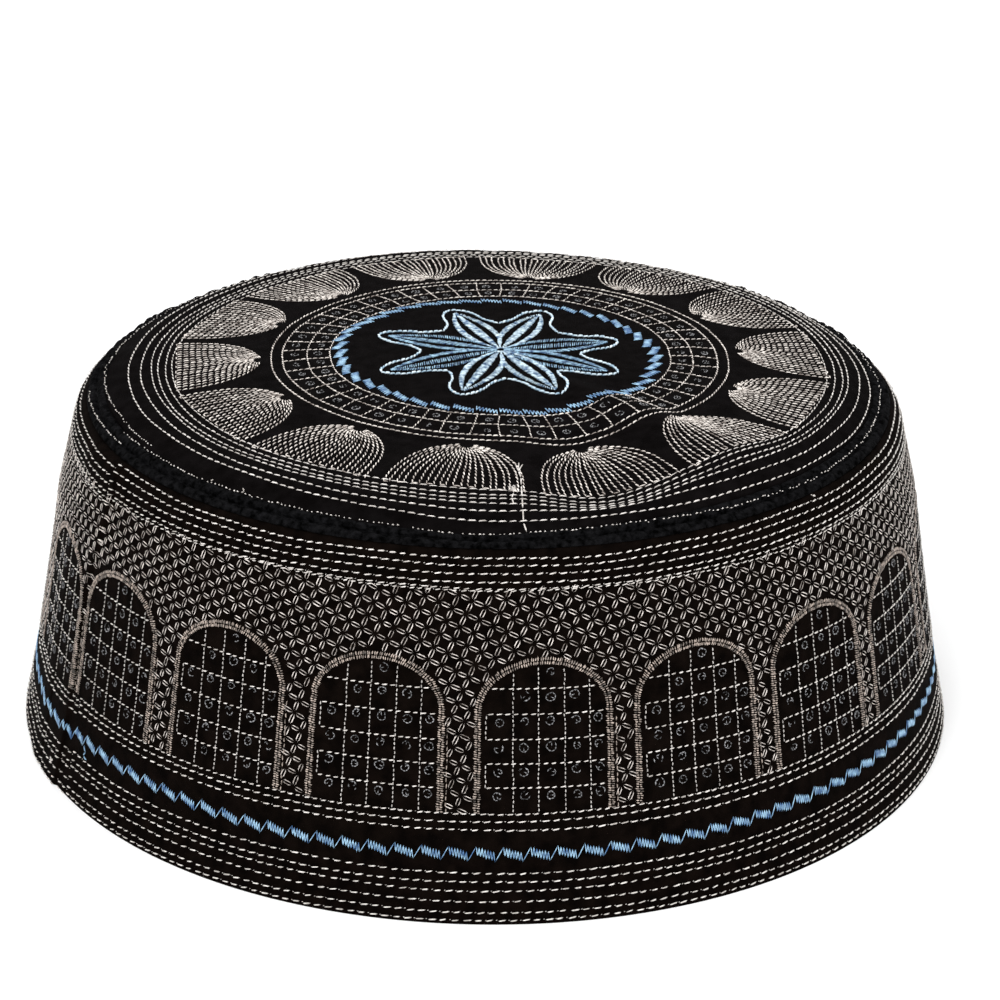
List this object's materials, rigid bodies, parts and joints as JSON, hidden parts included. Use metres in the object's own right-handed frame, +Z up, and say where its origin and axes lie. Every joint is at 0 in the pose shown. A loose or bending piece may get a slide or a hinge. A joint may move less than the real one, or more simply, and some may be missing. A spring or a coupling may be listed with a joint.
{
  "type": "prayer cap",
  "caption": "Round embroidered prayer cap with a stiff leaning side band, a gathered seam strip and a slightly domed crown; it stands on its rim and is open below for the head.",
  "frame": {"origin": "centre of the rim's resting plane", "axes": "+Z up through the crown, -Y to the front that the picture shows, +X to the picture's right"},
  "size_m": [0.19, 0.19, 0.0749],
  "materials": {
    "band_cloth": "black-brown cotton, stiffened, embroidered all over",
    "strip_cloth": "matt black cloth with a short nap, gathered",
    "crown_cloth": "black cotton, embroidered",
    "pale_thread": "beige-white embroidery thread with a silk sheen",
    "brown_thread": "taupe embroidery thread with a silk sheen",
    "blue_thread": "light blue embroidery thread with a silk sheen",
    "sequin": "small black cupped sequins"
  },
  "bodies": {
    "root": {"side_band": "band_cloth", "seam_strip": "strip_cloth", "crown_panel": "crown_cloth"}
  },
  "joints": []
}
